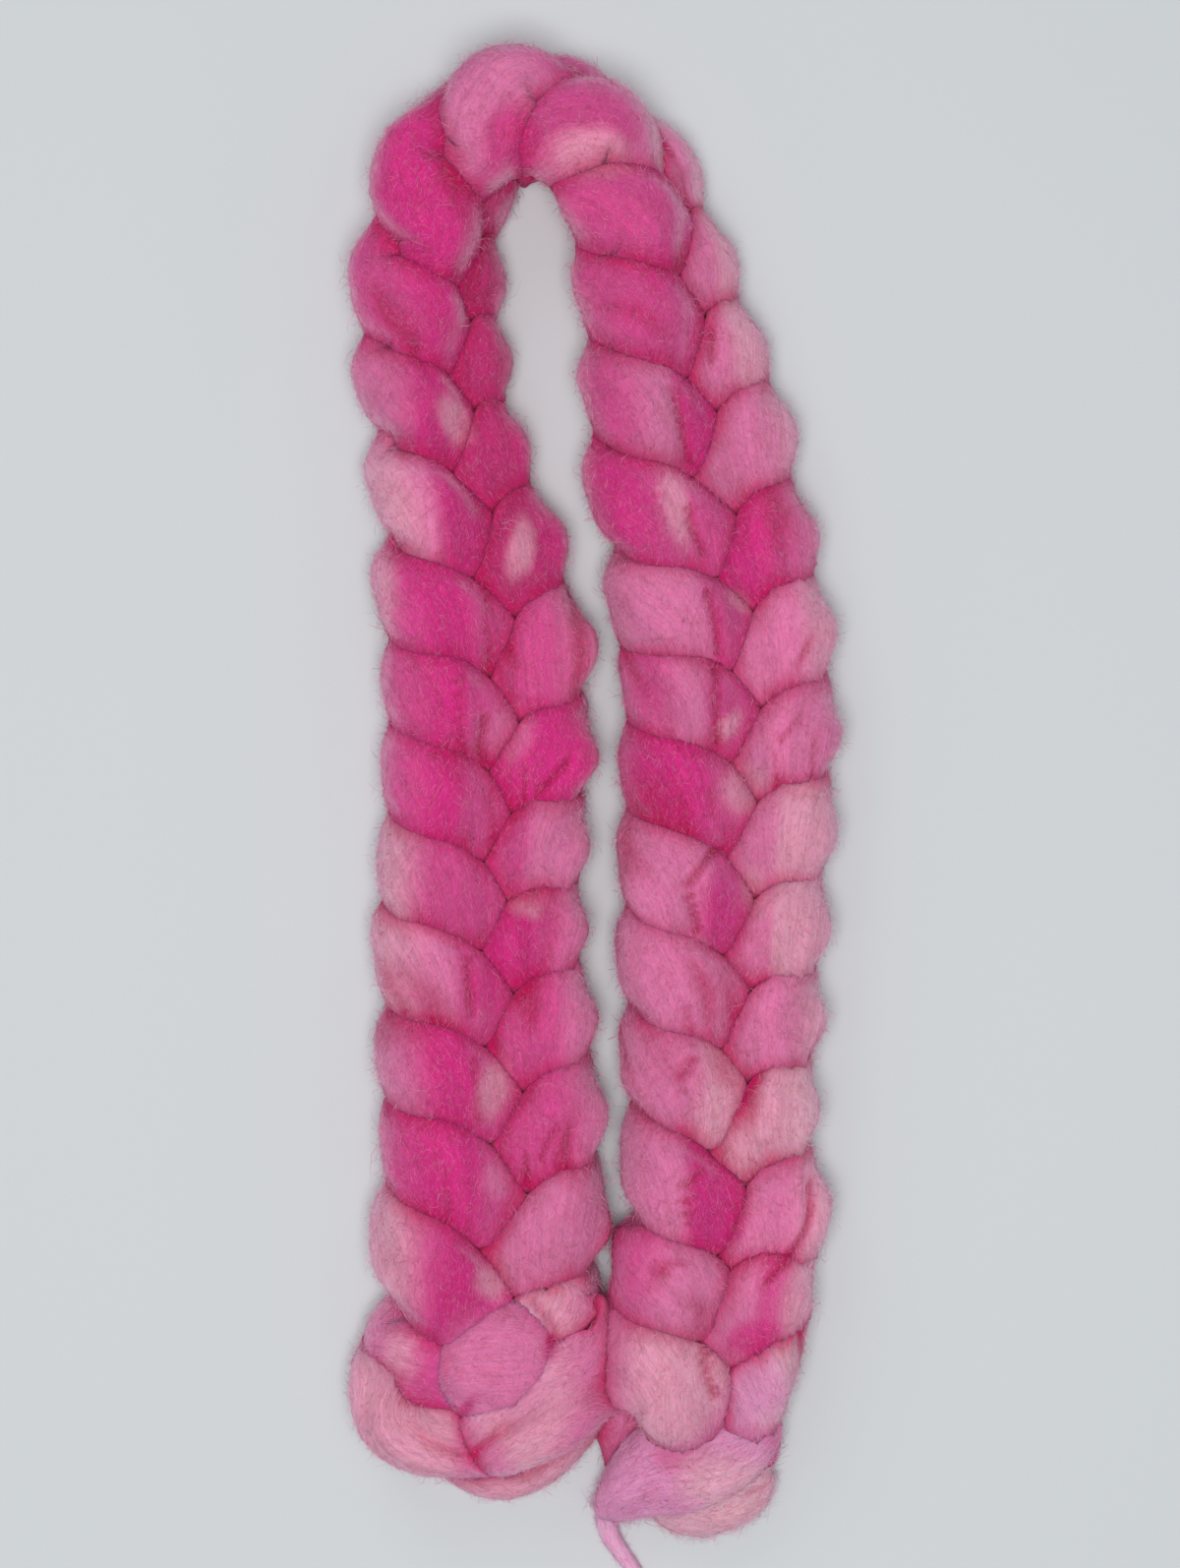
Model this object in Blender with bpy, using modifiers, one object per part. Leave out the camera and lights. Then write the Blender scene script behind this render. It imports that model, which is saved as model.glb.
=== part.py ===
"""A braid of combed wool roving, folded in half and laid flat.

One long roving is worked as three strands into a flat plait, about a metre
long.  The plait lies doubled, its bend at the top (+Y) and both ends at the
bottom.  It turns half over through the bend, so that it stands on its edge
there.  Metres, +Z up.  The surface that it lies on is z = 0.
"""
import math
from collections import namedtuple

import bmesh
import bpy
import numpy as np
from mathutils import Matrix, Vector

MM = 0.001

# A strand is an oval rope of loose wool.
STRANDS = 3
HALF_WIDTH = 14.4 * MM
HALF_THICKNESS = 11.5 * MM
RISE = 10.0 * MM                # how far a strand rises over the plait's middle
RISE_LEAN = 0.4                 # how far it runs ahead for each millimetre that it rises
DWELL = 0.15                    # how far strands keep to the edges, in radians of a swing
OFF_CENTRE = 4.5 * MM           # how far the crossings lie towards the right edge
SIDES = 20                      # corners of a strand's cross-section
STATION = 3 * MM                # from one cross-section to the next
SKIN_GRAIN = 1.6 * MM           # the finest detail of the fused skin
TRIANGLES = 9000                # of the fused skin
PLAITED = (1.0, 28.1)           # the first and last crossing of the regular plait
ROWS_PER_CROSSING = 12          # of a strand's path, as it swings and rises
READINGS_PER_PLACE = 40         # of the plait's middle line
GROUND_DEPTH = 100 * MM         # of the block that cuts the underside flat

# The plait's middle line, a row for each place along it.  crossing counts the
# crossings so far, so it sets how tight the plait is.  roll is 0 with the
# plait's left edge to the left of the way it runs, and 90 with that edge up.
# spread is how far a strand swings out to each side.  skew is how far the left
# edge runs ahead of the right one, for each millimetre between them.  girth is
# the strands' thickness there, as a share of their usual one.
Place = namedtuple("Place", "x y height crossing roll spread skew girth")
PLACES = [
    # x      y    height crossing roll spread skew girth
    Place(-39.5, -214, 18.0, -0.20, 8, 24.0, 0.0, 1.0),
    Place(-38.0, -181, 19.0, 0.88, 10, 26.5, 0.0, 1.0),
    Place(-36.0, -142, 19.0, 1.88, 12, 27.6, 0.0, 1.0),
    Place(-35.5, -108, 19.0, 2.88, 12, 26.0, 0.0, 1.0),
    Place(-37.8, -76, 19.0, 3.88, 12, 24.5, 0.0, 1.0),
    Place(-39.6, -44, 19.0, 4.88, 12, 23.8, 0.0, 1.0),
    Place(-39.2, -15, 19.0, 5.88, 12, 22.8, 0.0, 1.0),
    Place(-37.2, 16, 19.0, 6.88, 12, 23.4, 0.0, 1.0),
    Place(-36.8, 48, 19.0, 7.88, 14, 23.6, 0.0, 1.0),
    Place(-43.0, 81, 19.0, 8.88, 20, 22.0, 0.0, 0.95),
    Place(-51.0, 115, 19.0, 9.88, 30, 16.2, 0.0, 0.87),
    Place(-56.0, 147, 19.5, 10.88, 42, 15.2, 0.0, 0.86),
    Place(-57.4, 180, 21.5, 12.00, 58, 14.4, 0.0, 0.92),
    Place(-52.0, 212, 23.5, 12.95, 78, 15.0, 0.0, 1.0),
    Place(-38.5, 230.5, 24.0, 13.60, 86, 14.5, 0.0, 1.0),
    Place(-21.0, 235.5, 24.0, 14.22, 91, 14.5, 0.0, 1.0),
    Place(-3.0, 227.5, 24.0, 14.85, 98, 14.0, 0.0, 0.97),
    Place(10.0, 211.5, 23.5, 15.50, 110, 14.5, 0.0, 0.97),
    Place(19.3, 180, 22.0, 16.55, 132, 16.0, 0.0, 0.97),
    Place(25.4, 147, 20.5, 17.62, 148, 20.0, 0.0, 1.0),
    Place(31.5, 117, 19.5, 18.62, 158, 24.0, 0.05, 1.0),
    Place(39.0, 81, 19.0, 19.62, 164, 24.5, 0.1, 1.0),
    Place(44.4, 51, 19.0, 20.62, 167, 24.4, 0.1, 1.0),
    Place(45.2, 20, 19.0, 21.62, 168, 24.6, 0.1, 1.0),
    Place(43.7, -12, 19.0, 22.62, 168, 24.0, 0.1, 1.0),
    Place(42.8, -45, 19.0, 23.62, 168, 23.4, 0.1, 1.0),
    Place(42.0, -77, 19.0, 24.62, 168, 21.6, 0.15, 0.98),
    Place(41.8, -109, 19.0, 25.62, 168, 20.4, 0.2, 0.96),
    Place(41.8, -146, 19.0, 26.62, 170, 22.6, 0.4, 1.0),
    Place(37.0, -172, 18.5, 27.62, 172, 21.6, 0.5, 1.0),
    Place(33.0, -206, 17.0, 28.62, 174, 19.5, 0.5, 1.0),
]

# The strands past the regular plait, a row for each bend.  lean is how far the
# strand's flat side is turned from facing up, towards the right of its run.
Bend = namedtuple("Bend", "x y z half_width half_thickness lean")
# At the first end the strands turn back under each other in rounded loops.
FIRST_BENDS = [
    [
        Bend(-57.0, -211, 7.0, 9.0, 6.0, 0),
        Bend(-47.0, -218, 8.0, 11.0, 7.5, 0),
        Bend(-32.0, -224, 9.0, 11.5, 8.5, 0),
        Bend(-17.0, -217, 9.0, 11.5, 8.5, 0),
        Bend(-11.5, -203, 10.0, 12.5, 9.5, 0),
        Bend(-30.0, -197, 15.0, 13.0, 9.5, 0),
        Bend(-50.0, -190, 22.0, 13.5, 10.0, 0),
        Bend(-59.5, -187, 24.0, 13.5, 10.0, -30),
        Bend(-65.0, -183, 17.0, 14.0, 9.5, -90),
    ],
    [
        Bend(-22.0, -206, 10.0, 9.0, 7.0, 0),
        Bend(-34.0, -212, 15.0, 12.0, 9.0, 0),
        Bend(-50.0, -212, 22.0, 13.0, 10.0, 10),
        Bend(-63.0, -208, 22.0, 13.5, 10.0, 30),
        Bend(-71.0, -197, 17.0, 14.0, 10.0, 80),
        Bend(-64.0, -187, 10.0, 13.0, 9.0, 150),
        Bend(-46.0, -184, 12.0, 13.0, 10.0, 180),
        Bend(-28.0, -180, 22.0, 14.5, 11.0, 180),
    ],
    [
        Bend(-40.0, -222, 9.0, 9.0, 6.0, 0),
        Bend(-40.0, -217, 17.0, 12.0, 8.0, 20),
        Bend(-31.0, -211, 25.0, 14.5, 10.0, 10),
        Bend(-16.0, -202, 28.0, 16.5, 11.0, 0),
        Bend(-4.0, -188, 22.0, 16.5, 11.0, 40),
        Bend(-3.0, -176, 13.0, 15.5, 10.0, 100),
        Bend(-16.0, -172, 10.0, 15.0, 10.0, 160),
    ],
]
# At the second end they run out loose and flat.
LAST_BENDS = [
    [
        Bend(31.0, -199, 22.0, 15.0, 10.5, 0),
        Bend(44.0, -207, 11.0, 12.0, 9.0, 0),
        Bend(54.5, -213, 8.0, 8.5, 7.0, 0),
        Bend(54.5, -221, 7.0, 7.0, 6.0, 0),
        Bend(46.5, -225, 6.0, 7.0, 4.5, 0),
    ],
    [
        Bend(57.5, -176, 15.0, 16.0, 10.0, 70),
        Bend(52.0, -188, 24.0, 16.0, 11.0, 20),
        Bend(45.0, -204, 20.0, 16.5, 10.5, 0),
        Bend(39.5, -221, 13.0, 18.0, 9.0, 0),
        Bend(32.0, -234, 8.0, 16.0, 7.0, 0),
        Bend(25.5, -238.5, 5.0, 10.0, 3.5, 0),
    ],
    [
        Bend(16.0, -194, 9.0, 14.0, 9.0, 180),
        Bend(12.0, -206, 10.0, 12.0, 9.0, 180),
        Bend(16.0, -219, 11.0, 14.0, 8.5, 180),
        Bend(13.0, -230, 8.5, 10.5, 6.5, 180),
        Bend(6.5, -236.5, 5.0, 5.5, 3.5, 180),
    ],
]
# A tucked-in end, a ball of wool on top of the first end: its middle and radii.
TUCKED_END = (-32.0, -186, 28.0)
TUCKED_END_RADII = (16.0, 18.0, 11.5)

# The middle of the whole, which becomes the origin.
MIDDLE = (-0.5, -6.2, 0.0)

# The wisp that trails from the second end, a row for each bend.
WispBend = namedtuple("WispBend", "x y z radius")
WISP = [
    WispBend(5.2, -238.3, 4.0, 3.3),
    WispBend(4.2, -244.5, 3.5, 3.1),
    WispBend(6.8, -251.0, 3.0, 2.8),
    WispBend(11.2, -257.5, 2.6, 2.4),
    WispBend(16.0, -263.5, 2.3, 2.1),
    WispBend(19.5, -268.5, 2.1, 1.8),
]


def along(rows, positions):
    """Reads rows of numbers at fractional row positions, on a smooth curve."""
    rows = np.asarray(rows, float)
    padded = np.vstack([2 * rows[0] - rows[1], rows, 2 * rows[-1] - rows[-2]])
    positions = np.clip(positions, 0, len(rows) - 1)
    first = np.minimum(np.asarray(positions).astype(int), len(rows) - 2)
    t = (positions - first)[:, None]
    before, start, end, after = (padded[first + step] for step in range(4))
    return 0.5 * (2 * start + (end - before) * t
                  + (2 * before - 5 * start + 4 * end - after) * t ** 2
                  + (3 * start - before - 3 * end + after) * t ** 3)


def unit(vectors):
    return vectors / np.linalg.norm(vectors, axis=1)[:, None]


def plaited_rows(strand):
    """A strand's regular stretch: its middle, flat side, half width and thickness."""
    positions = np.linspace(0, len(PLACES) - 1, READINGS_PER_PLACE * len(PLACES))
    places = along(PLACES, positions)
    ahead = unit(np.gradient(places[:, :3], axis=0))
    count = int((PLAITED[1] - PLAITED[0]) * ROWS_PER_CROSSING)
    crossings = np.linspace(*PLAITED, count)
    table = np.hstack([places, ahead])
    read = np.column_stack([np.interp(crossings, table[:, 3], column) for column in table.T])
    middle, roll = read[:, :3], np.radians(read[:, 4:5])
    spread, skew, girth = read[:, 5:6], read[:, 6:7], read[:, 7:8]
    ahead = unit(read[:, 8:])
    left = unit(np.cross([0, 0, 1], ahead))
    edge = np.cos(roll) * left + np.sin(roll) * np.cross(ahead, left)
    face = np.cross(ahead, edge)
    turn = (2 * math.pi * (crossings + strand) / STRANDS)[:, None]
    swing = spread * np.sin(turn + DWELL * np.sin(2 * turn)) - OFF_CENTRE / MM * np.cos(turn) ** 2
    rise = RISE / MM * np.sin(2 * turn)
    path = middle + swing * (edge + skew * ahead) + rise * (face + RISE_LEAN * ahead)
    lean = math.pi / 2 * np.sin(math.pi / 2 * np.cos(turn))
    flat_side = np.cos(lean) * edge + np.sin(lean) * face
    sizes = girth * [HALF_WIDTH / MM, HALF_THICKNESS / MM]
    return np.hstack([path, flat_side, sizes])


def bend_rows(bends):
    """Rows like those of plaited_rows, for the bends past the plait."""
    table = np.array(bends, float)
    path = table[:, :3]
    ahead = unit(np.gradient(path, axis=0))
    right = unit(np.cross(ahead, [0, 0, 1]))
    lean = np.radians(table[:, 5:6])
    flat_side = np.cos(lean) * np.cross(right, ahead) + np.sin(lean) * right
    return np.hstack([path, flat_side, table[:, 3:5]])


def strand_sections(strand, station):
    """A whole strand's cross-sections: middles, two half-axes as vectors."""
    rows = np.vstack([bend_rows(FIRST_BENDS[strand]), plaited_rows(strand),
                      bend_rows(LAST_BENDS[strand])])
    agrees = np.sign(np.sum(rows[1:, 3:6] * rows[:-1, 3:6], axis=1))
    rows[1:, 3:6] *= np.cumprod(agrees)[:, None]
    lengths = np.linalg.norm(np.diff(rows[:, :3], axis=0), axis=1)
    reached = np.concatenate([[0], np.cumsum(lengths)])
    count = int(reached[-1] * MM / station)
    positions = np.interp(np.linspace(0, reached[-1], count), reached, np.arange(len(rows)))
    sections = along(rows, positions)
    middle, flat_side = sections[:, :3], sections[:, 3:6]
    ahead = unit(np.gradient(middle, axis=0))
    flat_side = unit(flat_side - np.sum(flat_side * ahead, axis=1)[:, None] * ahead)
    across = np.cross(ahead, flat_side) * sections[:, 6:7]
    return middle * MM, across * MM, flat_side * sections[:, 7:8] * MM


def new_object(name, mesh, collection):
    """Makes an object of a finished bmesh."""
    data = bpy.data.meshes.new(name)
    mesh.to_mesh(data)
    mesh.free()
    obj = bpy.data.objects.new(name, data)
    collection.objects.link(obj)
    return obj


def add_strand(strand, collection):
    """One strand, lofted through its ovals and closed at both ends."""
    middle, across, flat_side = strand_sections(strand, STATION)
    around = (np.arange(SIDES) + 0.5) * 2 * math.pi / SIDES
    ovals = (middle[:, None] + np.cos(around)[None, :, None] * across[:, None]
             + np.sin(around)[None, :, None] * flat_side[:, None])
    mesh = bmesh.new()
    rings = [[mesh.verts.new(place) for place in oval] for oval in ovals]
    for near, far in zip(rings, rings[1:]):
        for corner in range(SIDES):
            following = (corner + 1) % SIDES
            mesh.faces.new((near[corner], near[following], far[following], far[corner]))
    mesh.faces.new(rings[0][::-1])
    mesh.faces.new(rings[-1])
    bmesh.ops.recalc_face_normals(mesh, faces=mesh.faces)
    return new_object("strand_%d" % (strand + 1), mesh, collection)


def add_tucked_end(collection):
    """The ball of wool at the first end."""
    mesh = bmesh.new()
    bmesh.ops.create_uvsphere(mesh, u_segments=14, v_segments=8, radius=1)
    size_and_place = (Matrix.Translation(Vector(TUCKED_END) * MM)
                      @ Matrix.Diagonal((*(Vector(TUCKED_END_RADII) * MM), 1)))
    bmesh.ops.transform(mesh, matrix=size_and_place, verts=mesh.verts)
    return new_object("tucked_end", mesh, collection)


def add_ground(collection):
    """A block whose top is the surface, which cuts the braid's underside flat."""
    mesh = bmesh.new()
    bmesh.ops.create_cube(mesh, size=1)
    shape = (Matrix.Translation((0, 0, -GROUND_DEPTH / 2))
             @ Matrix.Diagonal((1, 1, GROUND_DEPTH, 1)))
    bmesh.ops.transform(mesh, matrix=shape, verts=mesh.verts)
    ground = new_object("ground", mesh, collection)
    ground.hide_render = True
    ground.display_type = "WIRE"
    return ground


def largest_body(mesh):
    """Deletes all but the largest of a mesh's separate bodies.

    Between three round strands a union leaves small closed hollows, which the
    real wool fills.
    """
    mesh.faces.ensure_lookup_table()
    unseen = set(mesh.faces)
    bodies = []
    while unseen:
        body, edge_of_body = set(), [unseen.pop()]
        while edge_of_body:
            face = edge_of_body.pop()
            body.add(face)
            neighbours = {other for edge in face.edges for other in edge.link_faces} & unseen
            unseen -= neighbours
            edge_of_body.extend(neighbours)
        bodies.append(body)
    bodies.sort(key=lambda body: sum(face.calc_area() for face in body))
    spare = [face for body in bodies[:-1] for face in body]
    bmesh.ops.delete(mesh, geom=spare, context="FACES")


def fused(name, pieces, ground, collection):
    """One solid of several overlapping pieces, cut flat by the ground.

    The remesh closes the pieces up into one skin, as pressed wool does, and
    Decimate then keeps only the faces that its curves need.
    """
    mesh = bmesh.new()
    for piece in pieces:
        mesh.from_mesh(piece.data)
        bpy.data.objects.remove(piece)
    obj = new_object(name, mesh, collection)
    remesh = obj.modifiers.new("Skin", "REMESH")
    remesh.mode = "VOXEL"
    remesh.voxel_size = SKIN_GRAIN
    depsgraph = bpy.context.evaluated_depsgraph_get()
    mesh = bmesh.new()
    mesh.from_mesh(bpy.data.meshes.new_from_object(obj.evaluated_get(depsgraph)))
    bpy.data.objects.remove(obj)
    largest_body(mesh)
    faces = len(mesh.faces) * 2
    obj = new_object(name, mesh, collection)
    decimate = obj.modifiers.new("Few faces", "DECIMATE")
    decimate.ratio = TRIANGLES / faces
    underside = obj.modifiers.new("Flat underside", "BOOLEAN")
    underside.operation = "DIFFERENCE"
    underside.solver = "EXACT"
    underside.object = ground
    return obj


def add_wisp(collection):
    """The trailing wisp, a tapering tube along its bends."""
    curve = bpy.data.curves.new("loose_end", "CURVE")
    curve.dimensions = "3D"
    curve.bevel_depth = 1.0 * MM
    curve.bevel_resolution = 2
    curve.use_fill_caps = True
    spline = curve.splines.new("POLY")
    points = along(WISP, np.linspace(0, len(WISP) - 1, 3 * len(WISP)))
    spline.points.add(len(points) - 1)
    for point, (x, y, z, radius) in zip(spline.points, points):
        point.co = (x * MM, y * MM, z * MM, 1)
        point.radius = radius
    obj = bpy.data.objects.new("loose_end", curve)
    collection.objects.link(obj)
    return obj


def wool(name, colour):
    """Dyed wool: matt, with the soft bloom of loose fibres."""
    material = bpy.data.materials.new(name)
    material.use_nodes = True
    shader = material.node_tree.nodes["Principled BSDF"]
    shader.inputs["Base Color"].default_value = (*colour, 1)
    shader.inputs["Roughness"].default_value = 0.9
    shader.inputs["Metallic"].default_value = 0.0
    shader.inputs["Sheen Weight"].default_value = 0.4
    return material


for item in list(bpy.data.objects):
    bpy.data.objects.remove(item)
braid_parts = bpy.data.collections.new("wool_roving_braid")
cutters = bpy.data.collections.new("cutters")
for collection in (braid_parts, cutters):
    bpy.context.scene.collection.children.link(collection)
strands = [add_strand(number, braid_parts) for number in range(STRANDS)]
braid = fused("braid", strands + [add_tucked_end(braid_parts)], add_ground(cutters), braid_parts)
braid.data.materials.append(wool("dyed_wool", (0.62, 0.10, 0.33)))
wisp = add_wisp(braid_parts)
wisp.data.materials.append(wool("dyed_wool_pale", (0.68, 0.20, 0.42)))
for obj in (braid, wisp):
    obj.location = -Vector(MIDDLE) * MM
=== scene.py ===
import math
from collections import namedtuple

import bmesh
import bpy
import numpy as np
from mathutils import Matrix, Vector
from mathutils.kdtree import KDTree


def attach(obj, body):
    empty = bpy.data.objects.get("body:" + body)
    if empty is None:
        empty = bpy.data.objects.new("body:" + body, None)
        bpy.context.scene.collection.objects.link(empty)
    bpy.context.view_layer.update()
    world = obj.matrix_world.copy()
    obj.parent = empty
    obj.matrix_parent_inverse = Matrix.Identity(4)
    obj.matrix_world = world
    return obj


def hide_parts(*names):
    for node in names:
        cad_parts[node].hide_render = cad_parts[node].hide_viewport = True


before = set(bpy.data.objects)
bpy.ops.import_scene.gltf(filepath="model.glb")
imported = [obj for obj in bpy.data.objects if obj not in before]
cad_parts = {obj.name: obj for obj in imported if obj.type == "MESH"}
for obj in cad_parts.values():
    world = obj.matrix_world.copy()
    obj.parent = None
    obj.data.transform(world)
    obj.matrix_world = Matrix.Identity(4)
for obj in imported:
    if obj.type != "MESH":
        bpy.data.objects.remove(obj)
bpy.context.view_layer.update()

# The setting.  A pale smooth table top stands under a wide soft lamp in a white
# room, with a window far off past the braid's bend, and the camera looks
# straight down on it with a long lens.
TABLE_SIZE = 3.0
CAMERA_HEIGHT = 1.6
VIEW_LENGTH = 0.5313            # of what the camera sees, from top to bottom
VIEW_MIDDLE = Vector((-0.0008, 0.0149, 0.020))
TABLE_LIGHT = (0.635, 0.672, 0.697, 1)
TABLE_DARK = (0.585, 0.615, 0.640, 1)
ROOM_COLOUR = (0.97, 0.99, 1.0, 1)
ROOM_LIGHT = 0.28
LAMP_COLOUR = (1.0, 0.99, 0.97)
Lamp = namedtuple("Lamp", "name size energy place")
LAMPS = [
    Lamp("soft_lamp", 0.9, 32.5, (-0.05, -0.25, 2.2)),
    Lamp("window", 1.0, 5.0, (-0.7, 1.4, 1.3)),
]


class Link:
    """A node socket, which adds Math nodes when it is used in an expression."""

    def __init__(self, tree, socket):
        self.tree = tree
        self.socket = socket

    def node(self, kind, settings=None, **sockets):
        """Adds a node: its kind, its settings, then its sockets' values or links.

        A socket is given by its name, or by its place as _0, _1 and so on.
        """
        made = self.tree.nodes.new(kind)
        for name, value in (settings or {}).items():
            setattr(made, name, value)
        for name, value in sockets.items():
            key = int(name[1:]) if name[0] == "_" else name.replace("_", " ")
            if isinstance(value, Link):
                self.tree.links.new(value.socket, made.inputs[key])
            else:
                made.inputs[key].default_value = value
        return made

    def read(self, kind, settings=None, output=0, **sockets):
        """Adds a node and gives one of its outputs."""
        return Link(self.tree, self.node(kind, settings, **sockets).outputs[output])

    def maths(self, operation, *values):
        """Adds a Math node and gives its value."""
        sockets = {"_%d" % place: value for place, value in enumerate(values)}
        return self.read("ShaderNodeMath", {"operation": operation}, **sockets)

    def __add__(self, other):
        return self.maths("ADD", self, other)

    def __mul__(self, other):
        return self.maths("MULTIPLY", self, other)

    __radd__ = __add__
    __rmul__ = __mul__

    def into(self, node, name):
        """Links this socket to a node's input."""
        self.tree.links.new(self.socket, node.inputs[name])


def new_material(name):
    """A material, a Link to its tree and its Principled shader."""
    material = bpy.data.materials.new(name)
    material.use_nodes = True
    tree = material.node_tree
    return material, Link(tree, None), tree.nodes["Principled BSDF"]


scene = bpy.context.scene
table_material, table, shader = new_material("pale_table")
place = table.read("ShaderNodeTexCoord", output="Object")
grain = table.read("ShaderNodeTexNoise", Vector=place, Scale=900.0, Detail=3.0)
shade = table.read("ShaderNodeMix", {"data_type": "RGBA"}, 2, _0=grain * 0.25,
                   _6=TABLE_LIGHT, _7=TABLE_DARK)
shade.into(shader, "Base Color")
shader.inputs["Roughness"].default_value = 0.7
mesh = bmesh.new()
bmesh.ops.create_grid(mesh, x_segments=1, y_segments=1, size=TABLE_SIZE / 2)
table_top = bpy.data.objects.new("table_top", bpy.data.meshes.new("table_top"))
mesh.to_mesh(table_top.data)
mesh.free()
table_top.data.materials.append(table_material)
scene.collection.objects.link(table_top)

for kind in LAMPS:
    lamp = bpy.data.objects.new(kind.name, bpy.data.lights.new(kind.name, "AREA"))
    lamp.data.size = kind.size
    lamp.data.energy = kind.energy
    lamp.data.color = LAMP_COLOUR
    lamp.location = kind.place
    lamp.rotation_euler = (VIEW_MIDDLE - lamp.location).to_track_quat("-Z", "Y").to_euler()
    scene.collection.objects.link(lamp)
world = bpy.data.worlds.new("room")
world.use_nodes = True
background = world.node_tree.nodes["Background"].inputs
background["Color"].default_value = ROOM_COLOUR
background["Strength"].default_value = ROOM_LIGHT
scene.world = world
scene.view_settings.view_transform = "Standard"

camera = bpy.data.objects.new("camera", bpy.data.cameras.new("camera"))
camera.data.sensor_fit = "VERTICAL"
camera.data.angle_y = 2 * math.atan(VIEW_LENGTH / 2 / CAMERA_HEIGHT)
camera.location = VIEW_MIDDLE + Vector((0, 0, CAMERA_HEIGHT))
scene.collection.objects.link(camera)
scene.camera = camera

# The wisp.  A thin twist of loose wool trails from the braid's second end and
# lies on the table.  It is drawn out of the roving, dyed lilac pink, and soft.
MM = 0.001
MIDDLE = np.array([-0.5, -6.2, 0.0]) * MM      # what lies at the origin
# Its course, in millimetres, a row for each bend.
WispBend = namedtuple("WispBend", "x y z radius")
WISP = [
    WispBend(9.5, -235, 5.5, 6),
    WispBend(5.4, -238.6, 4.4, 4.9),
    WispBend(4.4, -244.5, 3.7, 3.9),
    WispBend(6.8, -251, 3.1, 3.2),
    WispBend(11.2, -257.5, 2.7, 2.7),
    WispBend(16, -263.5, 2.4, 2.3),
    WispBend(19.5, -268.5, 2.1, 1.9),
]
WISP_ROWS, WISP_COLUMNS = 60, 32
ROOT_CLOSES = (0.0, 0.7, 0.95)  # how its first rings narrow to a closed end
TIP_CLOSES = (0.85, 0.5, 0.0)
WISP_FIBRES = 700
# The dyes, as linear colours; wine is deep dye darkened as painted shade.
DYES = {
    "deep": (0.710, 0.029, 0.268),
    "rose": (0.715, 0.082, 0.322),
    "light": (0.760, 0.215, 0.440),
    "blush": (0.815, 0.380, 0.525),
    "pale": (0.840, 0.480, 0.590),
    "lilac": (0.780, 0.330, 0.575),
    "wine": (0.580, 0.030, 0.200),
}
# CREASE_SHADE is crimson painted as shade deep between two strands.
CREASE_SHADE = (0.540, 0.001, 0.100)  # the colour deep between two strands
PALE = (0.97, 0.56, 0.76)       # a stray fibre where the light catches it
randoms = np.random.default_rng(7)


def along(rows, positions):
    """Reads rows of numbers at fractional row positions, on a smooth curve."""
    rows = np.asarray(rows, float)
    padded = np.vstack([2 * rows[0] - rows[1], rows, 2 * rows[-1] - rows[-2]])
    positions = np.clip(positions, 0, len(rows) - 1)
    first = np.minimum(np.asarray(positions).astype(int), len(rows) - 2)
    t = (positions - first)[:, None]
    before, start, end, after = (padded[first + step] for step in range(4))
    return 0.5 * (2 * start + (end - before) * t
                  + (2 * before - 5 * start + 4 * end - after) * t ** 2
                  + (3 * start - before - 3 * end + after) * t ** 3)


def unit(vectors):
    """Vectors in the same directions, of length 1."""
    return vectors / np.maximum(np.linalg.norm(vectors, axis=-1, keepdims=True), 1e-12)


def smooth_step(values, start, end):
    """Rises smoothly from 0 at the start to 1 at the end."""
    t = np.clip((values - start) / (end - start), 0, 1)
    return t * t * (3 - 2 * t)


def mixed(first, second, share):
    """Blends two colours, the second by a share for each point."""
    share = np.asarray(share)[..., None]
    return np.asarray(first) * (1 - share) + np.asarray(second) * share


def wrapped(grid):
    """A grid whose last column repeats its first."""
    return np.concatenate([grid, grid[:, :1]], axis=1)


def normals_of(surface):
    """The outward normals of a wrapped grid of points."""
    lengthwise = np.gradient(surface, axis=0)
    ring = surface[:, :-1]
    crosswise = np.roll(ring, -1, axis=1) - np.roll(ring, 1, axis=1)
    return wrapped(unit(np.cross(lengthwise[:, :-1], crosswise)))


def soft_noise(shape, length_grain, cross_grain):
    """Smooth noise on a grid, about -1 to 1, with its grains in cells."""
    white = np.fft.fft2(randoms.normal(size=shape))
    down = np.fft.fftfreq(shape[0])[:, None] * length_grain
    over = np.fft.fftfreq(shape[1])[None, :] * cross_grain
    noise = np.fft.ifft2(white * np.exp(-4 * (down ** 2 + over ** 2))).real
    return noise / (2.2 * noise.std())


def twisted(noise, shift):
    """Turns each row of a grid by its own number of cells."""
    waves = np.fft.fftfreq(noise.shape[1])[None, :]
    return np.fft.ifft(np.fft.fft(noise, axis=1)
                       * np.exp(2j * np.pi * waves * shift[:, None]), axis=1).real


def wool_run(shift, rows, columns, radius, length):
    """Each point's place in the combed wool, along and around its fibres."""
    angle = (np.linspace(0, 2 * np.pi, columns + 1)[None, :]
             + 2 * np.pi * np.asarray(shift)[:, None] / columns)
    reached = np.linspace(0, length, rows)[:, None] + 0 * angle
    return np.stack([radius * np.cos(angle), radius * np.sin(angle), reached], axis=-1)


def dye_points(data, colours):
    """Keeps the colour of each point on a mesh, for its material: its dye, with any painted shade and
    light.
    """
    paint = np.ones((len(colours), 4))
    paint[:, :3] = colours
    data.attributes.new("dye", "FLOAT_COLOR", "POINT").data.foreach_set("color", paint.ravel())


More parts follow.
